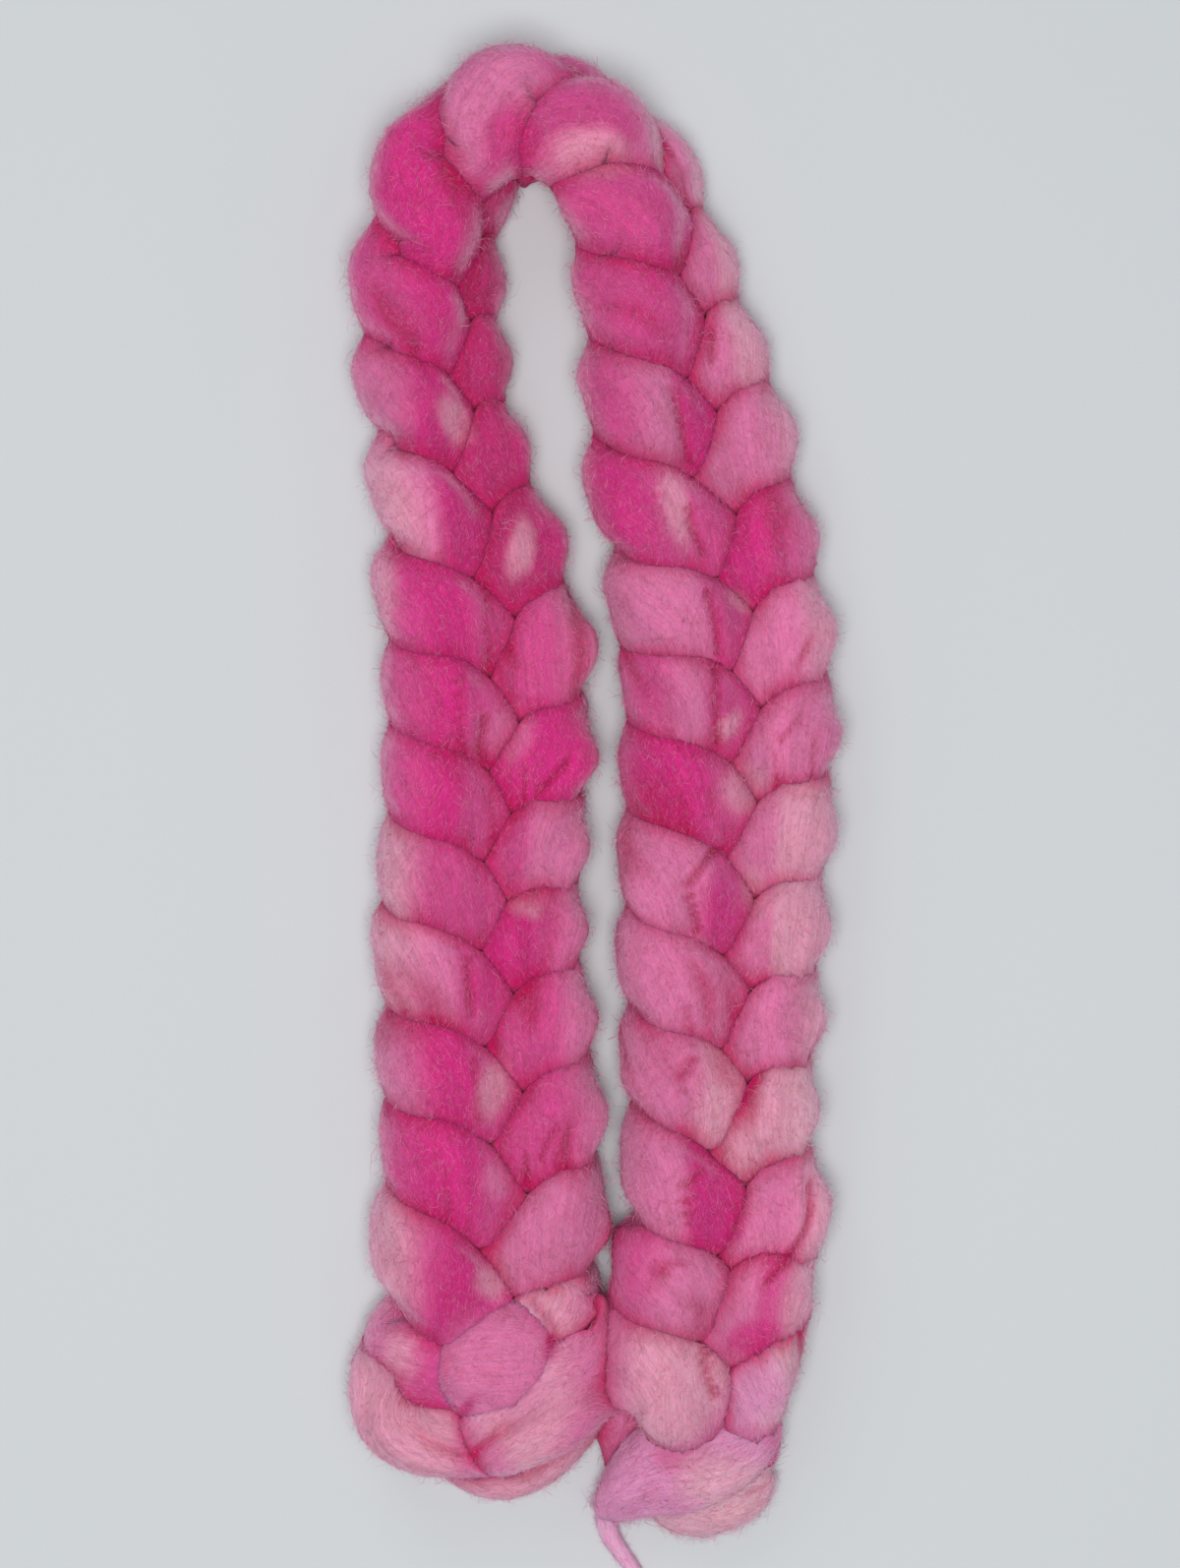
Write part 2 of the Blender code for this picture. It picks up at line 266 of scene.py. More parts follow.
def closed_tube(name, surface, run, colours, material, bake_rows=1):
    """A closed tube of wool through a wrapped grid of points, coloured point by point with dye and
    any painted shade and light.

    run is each point's place in the combed wool: two lengths across the fibres
    and one along them.  The texture is laid out in bake_rows rows.
    """
    rows, columns = surface.shape[0] - 1, surface.shape[1] - 1
    mesh = bmesh.new()
    mesh.loops.layers.uv.new("OFBake")
    bmesh.ops.create_grid(mesh, x_segments=columns, y_segments=rows, size=1, calc_uvs=True)
    data = bpy.data.meshes.new(name)
    mesh.to_mesh(data)
    flat = np.empty(len(data.vertices) * 3)
    data.vertices.foreach_get("co", flat)
    flat = flat.reshape(-1, 3)
    column = np.rint((flat[:, 0] + 1) / 2 * columns).astype(int)
    row = np.rint((flat[:, 1] + 1) / 2 * rows).astype(int)
    data.vertices.foreach_set("co", surface[row, column % columns].ravel())
    data.attributes.new("run", "FLOAT_VECTOR", "POINT").data.foreach_set(
        "vector", run[row, column % columns].ravel())
    dye_points(data, colours[row, column % columns])
    mesh.clear()
    mesh.from_mesh(data)
    mesh.verts.ensure_lookup_table()
    rim = [mesh.verts[number] for number in np.flatnonzero(
        (column == 0) | (column == columns) | (row == 0) | (row == rows))]
    bmesh.ops.remove_doubles(mesh, verts=rim, dist=1e-7)
    bmesh.ops.recalc_face_normals(mesh, faces=mesh.faces)
    mesh.to_mesh(data)
    mesh.free()
    uv = np.empty(len(data.loops) * 2)
    data.uv_layers["OFBake"].data.foreach_get("uv", uv)
    uv = uv.reshape(-1, 2)
    corners = np.empty(len(data.polygons), int)
    data.polygons.foreach_get("loop_total", corners)
    face_start = np.concatenate([[0], np.cumsum(corners)[:-1]])
    lowest = np.minimum.reduceat(uv[:, 1], face_start)
    strip = np.repeat(np.floor((lowest + 0.5 / rows) * bake_rows), corners)
    margin = 0.04
    uv = np.column_stack([uv[:, 1] * bake_rows - strip,
                          (strip + margin + (1 - 2 * margin) * uv[:, 0]) / bake_rows])
    data.uv_layers["OFBake"].data.foreach_set("uv", uv.ravel())
    data.shade_smooth()
    return dressed(name, data, material)


def dressed(name, data, material):
    """An object of a mesh, in its material."""
    data.materials.append(material)
    obj = bpy.data.objects.new(name, data)
    scene.collection.objects.link(obj)
    return obj


def wool_material(name, streak_depth):
    """Combed, dyed wool: felted grain along the fibres, matt with a soft bloom."""
    material, wool, shader = new_material(name)
    run = wool.read("ShaderNodeAttribute", {"attribute_name": "run"}, "Vector")
    # The dye attribute holds the dye together with painted crease shade and painted side light.
    dye = wool.read("ShaderNodeAttribute", {"attribute_name": "dye"}, "Color")
    place = wool.read("ShaderNodeTexCoord", output="Object")

    def grain(source, turn, scale, distortion, detail):
        """Noise, turned about z by an angle in degrees and drawn out by its scale."""
        placed = wool.read("ShaderNodeMapping", Vector=source, Rotation=(0, 0, math.radians(turn)))
        placed = wool.read("ShaderNodeMapping", Vector=placed, Scale=scale)
        return wool.read("ShaderNodeTexNoise", Vector=placed, Scale=1.0, Detail=detail,
                         Distortion=distortion)

    def share(value, start, end, most):
        """Rises from 0 to its most as a value goes from the start to the end."""
        return wool.read("ShaderNodeMapRange", Value=value, _1=start, _2=end, _3=0.0, _4=most)

    felt = grain(run, 0, (1500, 1500, 420), 0.6, 3.0)
    combed = grain(run, 0, (2600, 2600, 170), 0.4, 2.0)
    streaks = grain(run, 0, (1000, 1000, 60), 0.3, 1.0)
    locks = grain(run, 0, (420, 420, 45), 0.3, 2.0)
    leaning = grain(place, 32, (2400, 300, 2400), 0.5, 2.0)
    crossing = grain(place, -38, (2400, 300, 2400), 0.5, 2.0)
    light = (felt * 0.22 + combed * 0.40 + streaks * 0.34 + locks * 0.26
             + leaning * 0.10 + crossing * 0.10 + 0.29)
    shaded = wool.read("ShaderNodeVectorMath", {"operation": "SCALE"}, _0=dye, Scale=light)
    strays = leaning.maths("MAXIMUM", leaning, crossing)
    # Stray fibres across the combing are painted PALE in places, as highlight where light catches
    # them.
    pale = share(strays, 0.60, 0.78, 0.28)
    colour = wool.read("ShaderNodeMix", {"data_type": "RGBA"}, 2, _0=pale, _6=shaded, _7=(*PALE, 1))
    # Dark flecks in the combed grain take the crimson of the painted crease shade.
    flecks = share(combed, 0.58, 0.74, 0.30)
    colour = wool.read("ShaderNodeMix", {"data_type": "RGBA"}, 2, _0=flecks, _6=colour,
                       _7=(*CREASE_SHADE, 1))
    colour.into(shader, "Base Color")
    relief = felt * 0.9 + combed * 0.5 + streaks * 0.6 + locks * 1.2 + strays * 0.5
    bump = wool.read("ShaderNodeBump", Strength=0.9, Distance=streak_depth, Height=relief)
    bump.into(shader, "Normal")
    for socket, value in (("Roughness", 0.95), ("Specular IOR Level", 0.15),
                          ("Sheen Weight", 0.15), ("Sheen Roughness", 0.6),
                          ("Sheen Tint", (1.0, 0.50, 0.75, 1)),
                          ("Subsurface Weight", 0.8), ("Subsurface Scale", 0.006),
                          ("Subsurface Radius", (1.0, 0.30, 0.55))):
        shader.inputs[socket].default_value = value
    return material


def read_between(grid, top, near, y, x):
    """Reads a grid past its points at top and near, by shares y down and x across."""
    return (grid[top, near] * (1 - y) * (1 - x) + grid[top + 1, near] * y * (1 - x)
            + grid[top, near + 1] * (1 - y) * x + grid[top + 1, near + 1] * y * x)


def surface_at(grid, row, column):
    """Reads a wrapped grid at fractional rows and columns."""
    row = np.clip(row, 0, grid.shape[0] - 1.001)
    column = np.mod(column, grid.shape[1] - 1)
    top, near = row.astype(int), column.astype(int)
    return read_between(grid, top, near, (row - top)[..., None], (column - near)[..., None])


# Kinds of stray fibre: its share of all, its length, how high its middle and its
# tip stand, how far it wanders from the combing, in degrees, and its joints.
Stray = namedtuple("Stray", "share length middle_height tip_height wander joints")
FUZZ = [
    Stray(0.60, 4.4, 0.3, 0.5, 20, 0),      # lying along the combing
    Stray(0.40, 3.2, 0.8, 1.8, 45, 0),      # the haze at the wool's outline
]
STRAYS = [
    Stray(0.70, 7.0, 0.5, 0.3, 22, 1),      # longer ones
    Stray(0.30, 6.0, 1.7, 2.8, 55, 1),      # standing clear of it
]
FIBRE_RADIUS = 0.075            # in millimetres, where a fibre is thickest
FIBRE_CURL = 40                 # how far it turns between steps, in degrees


def fibre_mesh(name, chains, colours, material):
    """Thin three-sided fibres, each tapering from its joint, or its root, to its tips.

    chains holds one array for each kind of fibre, fibres x points x 3.
    """
    points, faces, paints, cells = [], [], [], []
    start, first_fibre = 0, 0
    cells_across = math.ceil(math.sqrt(sum(len(chain) for chain in chains)))
    for chain, paint in zip(chains, colours):
        count, length = chain.shape[:2]
        ahead = unit(chain[:, -1] - chain[:, 0])
        side = unit(np.cross(ahead, randoms.normal(size=(count, 3))))
        above = np.cross(ahead, side)
        angle = 2 * math.pi * np.arange(3)[:, None] / 3
        spokes = np.cos(angle) * side[:, None] + np.sin(angle) * above[:, None]
        radius = FIBRE_RADIUS * MM * randoms.uniform(0.7, 1.3, count)[:, None, None]
        ring = chain[:, -2, None] + radius * spokes
        if length == 2:         # straight, with a ring at its root and one tip
            made = np.concatenate([ring, chain[:, -1:]], axis=1)
            pattern = np.array([(0, 2, 1), (0, 1, 3), (1, 2, 3), (2, 0, 3)])
            place = np.array([(0.2, 0.2), (0.8, 0.2), (0.5, 0.5), (0.5, 0.8)])
        else:                   # bent, with a ring at its joint and a tip at both ends
            made = np.concatenate([ring, chain[:, -1:], chain[:, :1]], axis=1)
            pattern = np.array([(0, 1, 3), (1, 2, 3), (2, 0, 3), (1, 0, 4), (2, 1, 4), (0, 2, 4)])
            place = np.array([(0.3, 0.5), (0.7, 0.5), (0.5, 0.6), (0.5, 0.8), (0.5, 0.2)])
        each = made.shape[1]
        points.append(made.reshape(-1, 3))
        faces.append((start + each * np.arange(count)[:, None, None] + pattern).reshape(-1, 3))
        paints.append(np.repeat(paint, each, axis=0))
        number = first_fibre + np.arange(count)[:, None]
        cell = np.stack([number % cells_across, number // cells_across], axis=-1)
        cells.append(((cell + place) / cells_across).reshape(-1, 2))
        start += each * count
        first_fibre += count
    points, faces, paints, cells = (np.concatenate(lists) for lists in (points, faces, paints, cells))
    points[:, 2] = np.maximum(points[:, 2], 0.1 * MM)
    data = bpy.data.meshes.new(name)
    data.vertices.add(len(points))
    data.vertices.foreach_set("co", points.ravel())
    data.loops.add(faces.size)
    data.loops.foreach_set("vertex_index", faces.ravel())
    data.polygons.add(len(faces))
    data.polygons.foreach_set("loop_start", np.arange(0, faces.size, 3))
    data.update(calc_edges=True)
    data.uv_layers.new(name="OFBake").data.foreach_set("uv", cells[faces.ravel()].ravel())
    dye_points(data, paints)
    data.shade_smooth()
    return dressed(name, data, material)


def stray_fibres(name, surface, colours, bare, lean, count, kinds):
    """Stray fibres over a wrapped grid of points.

    bare says how much of each point is in the open.  lean is the angle of the
    combing from the lengthwise lines, row by row.
    """
    lengthwise = np.gradient(surface, axis=0)
    crosswise = wrapped((np.roll(surface[:, :-1], -1, axis=1)
                         - np.roll(surface[:, :-1], 1, axis=1)) / 2)
    row_step = np.linalg.norm(lengthwise, axis=2)
    column_step = np.linalg.norm(crosswise, axis=2)
    normals = normals_of(surface)
    around = surface.shape[1] - 1
    least_step = 0.3 * MM
    weight = (row_step * column_step * bare)[:-1, :-1].ravel()
    weight = np.cumsum(weight) / weight.sum()
    chains, paints = [], []
    for stray in kinds:
        number = int(count * stray.share)
        cell = np.searchsorted(weight, randoms.random(number))
        row = cell // around + randoms.random(number)
        column = cell % around + randoms.random(number)
        angle = (np.interp(row, np.arange(len(lean)), lean)
                 + np.radians(stray.wander) * randoms.normal(size=number)
                 + np.pi * randoms.integers(0, 2, number))
        open_here = bare[:-1, :-1].ravel()[cell]
        length = stray.length * MM * np.exp(0.35 * randoms.normal(size=number))
        length = length * (0.4 + 0.6 * open_here)
        curl = np.radians(FIBRE_CURL) * randoms.normal(size=number)
        height = MM * np.clip(1 + 0.55 * randoms.normal(size=number), 0.1, 2.2) * open_here
        down = np.maximum(surface_at(row_step[..., None], row, column)[:, 0], least_step)
        over = np.maximum(surface_at(column_step[..., None], row, column)[:, 0], least_step)
        chain = []
        for joint in range(stray.joints + 2):
            t = joint / (stray.joints + 1)
            rise = height * np.interp(t, (0, 0.5, 1), (-0.1, stray.middle_height, stray.tip_height))
            chain.append(surface_at(surface, row, column)
                         + rise[:, None] * surface_at(normals, row, column))
            step = length / (stray.joints + 1)
            row = row + step * np.cos(angle) / down
            column = column + step * np.sin(angle) / over
            angle = angle + curl
        chains.append(np.stack(chain, axis=1))
        dye = colours[cell // around, cell % around]
        # Fibres in the open get a random share of PALE, painted light catching them.
        paints.append(mixed(dye, PALE, open_here * (0.05 + 0.45 * randoms.random(number) ** 2)))
    return fibre_mesh(name, chains, paints, loose_wool)


def fibre_material(name):
    """Single fibres in the colour of the wool that they come from, some with painted pale light,
    lighter or darker in random patches.
    """
    material, wool, shader = new_material(name)
    dye = wool.read("ShaderNodeAttribute", {"attribute_name": "dye"}, "Color")
    place = wool.read("ShaderNodeTexCoord", output="Object")
    patches = wool.read("ShaderNodeTexNoise", Vector=place, Scale=500.0, Detail=1.0)
    light = patches * 0.5 + 0.85
    shade = wool.read("ShaderNodeVectorMath", {"operation": "SCALE"}, _0=dye, Scale=light)
    shade.into(shader, "Base Color")
    shader.inputs["Roughness"].default_value = 0.8
    shader.inputs["Specular IOR Level"].default_value = 0.2
    return material


combed_wool = wool_material("combed_wool", 0.5 * MM)
loose_wool = fibre_material("loose_wool")
bends = along(WISP, np.linspace(0, len(WISP) - 1, WISP_ROWS)) * MM
wisp_path = bends[:, :3] - MIDDLE
ahead = unit(np.gradient(wisp_path, axis=0))
side = unit(np.cross(ahead, [0, 0, 1]))
above = np.cross(side, ahead)
closing = np.ones(WISP_ROWS)
closing[:3] = ROOT_CLOSES
closing[-3:] = TIP_CLOSES
around = np.linspace(0, 2 * np.pi, WISP_COLUMNS + 1)
lumps = 1 + 0.15 * wrapped(soft_noise((WISP_ROWS, WISP_COLUMNS), 18, 9))
reach = (bends[:, 3] * closing)[:, None] * lumps
wisp_surface = (wisp_path[:, None]
                + (reach * np.cos(around))[..., None] * side[:, None]
                + (reach * np.sin(around))[..., None] * above[:, None])
wisp_surface[..., 2] = np.maximum(wisp_surface[..., 2], 0.2 * MM)
wisp_turn = np.linspace(0, WISP_COLUMNS * 0.6, WISP_ROWS)
wisp_run = wool_run(wisp_turn, WISP_ROWS, WISP_COLUMNS, 2.5 * MM, 0.034)
wisp_colours = np.broadcast_to(mixed(DYES["lilac"], PALE, 0.6), wisp_surface.shape)
wisp = closed_tube("wisp", wisp_surface, wisp_run, wisp_colours, combed_wool)
wisp_fibres = stray_fibres("wisp_fibres", wisp_surface, wisp_colours, np.ones(reach.shape),
                           np.zeros(WISP_ROWS), WISP_FIBRES, FUZZ)
for piece in (wisp, wisp_fibres):
    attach(piece, "root")
    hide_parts("loose_end")

# The three strands.  One long combed roving is worked as a flat three-strand
# plait, doubled at the top so that it stands on edge there, and each strand's
# loose wool presses flat against its neighbours.
STRANDS = 3
HALF_WIDTH = 14.4
HALF_THICKNESS = 11.5
RISE = 10.0                     # how far a strand rises over the plait's middle
RISE_LEAN = 0.4                 # how far it runs ahead for each millimetre that it rises
DWELL = 0.15                    # how far strands keep to the edges, in radians of a swing
OFF_CENTRE = 4.5                # how far the crossings lie towards the right edge
PLAITED = (1.0, 28.1)           # the first and last crossing of the regular plait
BOXINESS = 2.6                  # 2 makes a strand oval, and more makes it a rounded box
SECTIONS = 961
COLUMNS = 64
ROWS_A_CROSSING = 12
BEND_STEP = 0.3                 # how many crossings one bend counts for
CLOSED_OVER = 7                 # how many sections round a strand's end off
# The plait's course: its middle and height, in millimetres, the crossings so far,
# the roll of its face, in degrees, how far strands swing to each side, how much
# that slants, and their girth, 1 being usual.
Place = namedtuple("Place", "x y height crossing roll spread skew girth", defaults=(0, 1))
PLACES = [
    Place(-39.5, -214, 18, -0.20, 8, 24),
    Place(-38, -181, 19, 0.88, 10, 26.5),
    Place(-36, -142, 19, 1.88, 12, 27.6),
    Place(-35.5, -108, 19, 2.88, 12, 26),
    Place(-37.8, -76, 19, 3.88, 12, 24.5),
    Place(-39.6, -44, 19, 4.88, 12, 23.8),
    Place(-39.2, -15, 19, 5.88, 12, 22.8),
    Place(-37.2, 16, 19, 6.88, 12, 23.4),
    Place(-36.8, 48, 19, 7.88, 14, 23.6),
    Place(-43, 81, 19, 8.88, 20, 22, 0, 0.95),
    Place(-51, 115, 19, 9.88, 30, 16.2, 0, 0.87),
    Place(-56, 147, 19.5, 10.88, 42, 15.2, 0, 0.86),
    Place(-57.4, 180, 21.5, 12.00, 58, 14.4, 0, 0.92),
    Place(-52, 212, 23.5, 12.95, 78, 15),
    Place(-38.5, 230.5, 24, 13.60, 86, 14.5),
    Place(-21, 235.5, 24, 14.22, 91, 14.5),
    Place(-3, 227.5, 24, 14.85, 98, 14, 0, 0.97),
    Place(10, 211.5, 23.5, 15.50, 110, 14.5, 0, 0.97),
    Place(19.3, 180, 22, 16.55, 132, 16, 0, 0.97),
    Place(25.4, 147, 20.5, 17.62, 148, 20),
    Place(31.5, 117, 19.5, 18.62, 158, 24, 0.05, 1),
    Place(39, 81, 19, 19.62, 164, 24.5, 0.1, 1),
    Place(44.4, 51, 19, 20.62, 167, 24.4, 0.1, 1),
    Place(45.2, 20, 19, 21.62, 168, 24.6, 0.1, 1),
    Place(43.7, -12, 19, 22.62, 168, 24, 0.1, 1),
    Place(42.8, -45, 19, 23.62, 168, 23.4, 0.1, 1),
    Place(42, -77, 19, 24.62, 168, 21.6, 0.15, 0.98),
    Place(41.8, -109, 19, 25.62, 168, 20.4, 0.2, 0.96),
    Place(41.8, -146, 19, 26.62, 170, 22.6, 0.4, 1),
    Place(37, -172, 18.5, 27.62, 172, 21.6, 0.5, 1),
    Place(33, -206, 17, 28.62, 174, 19.5, 0.5, 1),
]
# The strands past the regular plait, a row for each bend.  lean is how far the
# strand's flat side is turned from facing up, towards the right of its run.
Bend = namedtuple("Bend", "x y z half_width half_thickness lean", defaults=(0,))
# At the first end the strands turn back under each other in rounded loops.
FIRST_BENDS = [
    [
        Bend(-57, -211, 7, 9, 6),
        Bend(-47, -218, 8, 11, 7.5),
        Bend(-32, -224, 9, 11.5, 8.5),
        Bend(-17, -217, 9, 11.5, 8.5),
        Bend(-11.5, -203, 10, 12.5, 9.5),
        Bend(-30, -197, 15, 13, 9.5),
        Bend(-50, -190, 22, 13.5, 10),
        Bend(-59.5, -187, 24, 13.5, 10, -30),
        Bend(-65, -183, 17, 14, 9.5, -90),
    ],
    [
        Bend(-22, -206, 10, 9, 7),
        Bend(-34, -212, 15, 12, 9),
        Bend(-50, -212, 22, 13, 10, 10),
        Bend(-63, -208, 22, 13.5, 10, 30),
        Bend(-71, -197, 17, 14, 10, 80),
        Bend(-64, -187, 10, 13, 9, 150),
        Bend(-46, -184, 12, 13, 10, 180),
        Bend(-28, -180, 22, 14.5, 11, 180),
    ],
    [
        Bend(-40, -222, 9, 9, 6),
        Bend(-40, -217, 17, 12, 8, 20),
        Bend(-31, -211, 25, 14.5, 10, 10),
        Bend(-16, -202, 28, 16.5, 11),
        Bend(-4, -188, 22, 16.5, 11, 40),
        Bend(-3, -176, 13, 15.5, 10, 100),
        Bend(-16, -172, 10, 15, 10, 160),
    ],
]
# At the second end they run out loose and flat.
LAST_BENDS = [
    [
        Bend(31, -198, 24.5, 17, 11),
        Bend(44, -207, 11, 12, 9),
        Bend(54.5, -213, 8, 8.5, 7),
        Bend(54.5, -221, 7, 7, 6),
        Bend(46.5, -225, 6, 7, 4.5),
    ],
    [
        Bend(59, -176, 15, 15, 10, 70),
        Bend(55, -188, 21, 14, 10, 20),
        Bend(49, -204, 16, 13.5, 9.5),
        Bend(41, -219, 11, 15, 8),
        Bend(32, -232, 7, 14, 6.5),
        Bend(25.5, -236.5, 5, 9, 3.5),
    ],
    [
        Bend(16, -194, 9, 14, 9, 180),
        Bend(12.5, -206, 8, 10.5, 7.5, 180),
        Bend(13, -217, 7, 9.5, 6, 180),
        Bend(13, -225, 6, 8, 5, 180),
        Bend(14, -230, 5, 5, 3.5, 180),
    ],
]


def plaited_rows(strand):
    """A strand's regular stretch, a row for each place along it.

    A row holds its middle, its flat side's direction, half width, half
    thickness and crossing.
    """
    positions = np.linspace(0, len(PLACES) - 1, 40 * len(PLACES))
    places = along(PLACES, positions)
    ahead = unit(np.gradient(places[:, :3], axis=0))
    count = int((PLAITED[1] - PLAITED[0]) * ROWS_A_CROSSING)
    crossings = np.linspace(*PLAITED, count)
    table = np.hstack([places, ahead])
    read = np.column_stack([np.interp(crossings, table[:, 3], column) for column in table.T])
    middle, roll = read[:, :3], np.radians(read[:, 4:5])
    spread, skew, girth = read[:, 5:6], read[:, 6:7], read[:, 7:8]
    ahead = unit(read[:, 8:])
    left = unit(np.cross([0, 0, 1], ahead))
    edge = np.cos(roll) * left + np.sin(roll) * np.cross(ahead, left)
    face = np.cross(ahead, edge)
    turn = (2 * math.pi * (crossings + strand) / STRANDS)[:, None]
    swing = spread * np.sin(turn + DWELL * np.sin(2 * turn)) - OFF_CENTRE * np.cos(turn) ** 2
    rise = RISE * np.sin(2 * turn)
    path = middle + swing * (edge + skew * ahead) + rise * (face + RISE_LEAN * ahead)
    lean = math.pi / 2 * np.sin(math.pi / 2 * np.cos(turn))
    flat_side = np.cos(lean) * edge + np.sin(lean) * face
    sizes = girth * [HALF_WIDTH, HALF_THICKNESS]
    return np.hstack([path, flat_side, sizes, crossings[:, None]])


def bend_rows(bends, start):
    """Rows like those of plaited_rows, for the bends past the plait."""
    table = np.array(bends, float)
    path = table[:, :3]
    ahead = unit(np.gradient(path, axis=0))
    right = unit(np.cross(ahead, [0, 0, 1]))
    lean = np.radians(table[:, 5:6])
    flat_side = np.cos(lean) * np.cross(right, ahead) + np.sin(lean) * right
    crossings = start + BEND_STEP * np.arange(len(bends))[:, None]
    return np.hstack([path, flat_side, table[:, 3:5], crossings])


def boxy(*parts):
    """The length of a vector whose unit circle is a rounded box."""
    return sum(np.abs(part) ** BOXINESS for part in parts) ** (1 / BOXINESS)


class Lock:
    """A lock of combed wool, as its middle line and the rays from there to its skin."""

    def __init__(self, rows, count):
        agrees = np.sign(np.sum(rows[1:, 3:6] * rows[:-1, 3:6], axis=1))
        rows[1:, 3:6] *= np.cumprod(agrees)[:, None]
        lengths = np.linalg.norm(np.diff(rows[:, :3], axis=0), axis=1)
        reached = np.concatenate([[0], np.cumsum(lengths)])
        positions = np.interp(np.linspace(0, reached[-1], count), reached, np.arange(len(rows)))
        sections = along(rows, positions)
        self.crossing = sections[:, 8]
        self.length = reached[-1] * MM
        self.middle = sections[:, :3] * MM - MIDDLE
        self.ahead = unit(np.gradient(self.middle, axis=0))
        from_end = np.minimum(np.arange(count), np.arange(count)[::-1])
        closing = np.sqrt(1 - np.clip(1 - from_end / CLOSED_OVER, 0, 1) ** 2)
        flat_side = sections[:, 3:6]
        flat_side = unit(flat_side - np.sum(flat_side * self.ahead, axis=1)[:, None] * self.ahead)
        self.across = np.cross(self.ahead, flat_side) * (sections[:, 6] * closing)[:, None] * MM
        self.flat_side = flat_side * (sections[:, 7] * closing)[:, None] * MM
        self.tree = KDTree(count)
        for row, point in enumerate(self.middle):
            self.tree.insert(point, row)
        self.tree.balance()
        angle = np.linspace(0, 2 * np.pi, COLUMNS + 1)
        reach = (1 / boxy(np.cos(angle), np.sin(angle)))[None, :, None]
        self.rays = reach * (np.cos(angle)[None, :, None] * self.across[:, None]
                             + np.sin(angle)[None, :, None] * self.flat_side[:, None])

    def depth(self, points):
        """How far out points are in this lock: 0 in its middle, 1 at its skin."""
        nearest = np.array([self.tree.find(point)[1] for point in points], int)
        away = points - self.middle[nearest]
        across, flat_side = self.across[nearest], self.flat_side[nearest]
        half_width = np.maximum(np.sum(across ** 2, axis=1), 1e-8)
        half_thickness = np.maximum(np.sum(flat_side ** 2, axis=1), 1e-8)
        along_width = np.sum(away * across, axis=1) / half_width
        along_thickness = np.sum(away * flat_side, axis=1) / half_thickness
        past_end = np.sum(away * self.ahead[nearest], axis=1) / np.sqrt(half_width)
        return boxy(along_width, along_thickness, past_end)


class Strand(Lock):
    """One of the plait's three strands, with the bends at its ends."""

    def __init__(self, number):
        self.number = number
        first, last = FIRST_BENDS[number], LAST_BENDS[number]
        rows = [bend_rows(first, PLAITED[0] - BEND_STEP * len(first)),
                plaited_rows(number), bend_rows(last, PLAITED[1] + BEND_STEP)]
        super().__init__(np.vstack(rows), SECTIONS)


class Ball:
    """A ball of wool, as its middle and the rays from there to its skin.

    Its radii are along its pole, which lies level, across it and upwards.
    """

    def __init__(self, centre, radii, pole):
        self.centre = np.array(centre) * MM - MIDDLE
        pole = unit(np.array([*pole, 0.0]))
        side = np.cross([0, 0, 1], pole)
        radii = (np.array(radii) * MM)[:, None]
        self.axes = np.array([pole, side, [0, 0, 1]]) / radii
        along_pole, across, upwards = self.axes * radii ** 2
        down = np.linspace(0, np.pi, BALL_ROWS)[:, None, None]
        angle = np.linspace(0, 2 * np.pi, COLUMNS + 1)[None, :, None]
        self.middle = np.tile(self.centre, (BALL_ROWS, 1))
        self.rays = np.cos(down) * along_pole + np.sin(down) * (np.cos(angle) * across
                                                               + np.sin(angle) * upwards)

    def depth(self, points):
        return np.linalg.norm((points - self.centre) @ self.axes.T, axis=1)


NEAR = 0.6                      # how far past its skin a strand feels its neighbours
FILL = 0.18                     # how far loose wool fills the valley between two strands
NOTCH = 0.015                   # how deep the crease is at the bottom of the valley
DEEPEST = 0.25                  # the least share of itself that a pressed strand keeps
HALVINGS = 8                    # how finely the place where two bodies meet is found
SEAM_DEPTH, SEAM_WIDTH = 0.9, 0.14
FOLD_WIDTH = 1.5
SETTLED = 8                     # up to this height, wool gives way to the table


def met_at(body, others, step=2):
    """How far along its rays a body meets the others, 1 being its own skin."""
    rays = body.rays[::step, :-1:step]
    middle = np.broadcast_to(body.middle[::step, None], rays.shape)
    flat_rays, flat_middle = rays.reshape(-1, 3), middle.reshape(-1, 3)
    limit = 1 + NEAR
    met = np.full(len(flat_rays), limit)
    for other in others:
        inside = np.flatnonzero(other.depth(flat_middle + limit * flat_rays) < limit)
        low = np.zeros(len(inside))
        high = np.full(len(inside), limit)
        for _ in range(HALVINGS):
            halfway = (low + high) / 2
            points = flat_middle[inside] + halfway[:, None] * flat_rays[inside]
            blocked = other.depth(points) < halfway
            high = np.where(blocked, halfway, high)
            low = np.where(blocked, low, halfway)
        met[inside] = np.minimum(met[inside], np.maximum(high, DEEPEST))
    rows, columns = body.rays.shape[:2]
    return blurred(finer(met.reshape(rays.shape[:2]), rows, columns), 2)


def finer(grid, rows, columns):
    """Reads a coarse grid, open in its rows, at every point of a fine wrapped one."""
    padded = wrapped(grid)
    down = np.linspace(0, padded.shape[0] - 1, rows)[:, None]
    over = np.linspace(0, padded.shape[1] - 1, columns)[None, :]
    top = np.minimum(down.astype(int), padded.shape[0] - 2)
    near = np.minimum(over.astype(int), padded.shape[1] - 2)
    return read_between(padded, top, near, down - top, over - near)


def blurred(grid, passes):
    """Softens a wrapped grid a little."""
    for _ in range(passes):
        ring = grid[:, :-1]
        ring = (np.roll(ring, 1, axis=1) + 2 * ring + np.roll(ring, -1, axis=1)) / 4
        padded = np.concatenate([ring[:1], ring, ring[-1:]])
        grid = wrapped((padded[:-2] + 2 * padded[1:-1] + padded[2:]) / 4)
    return grid


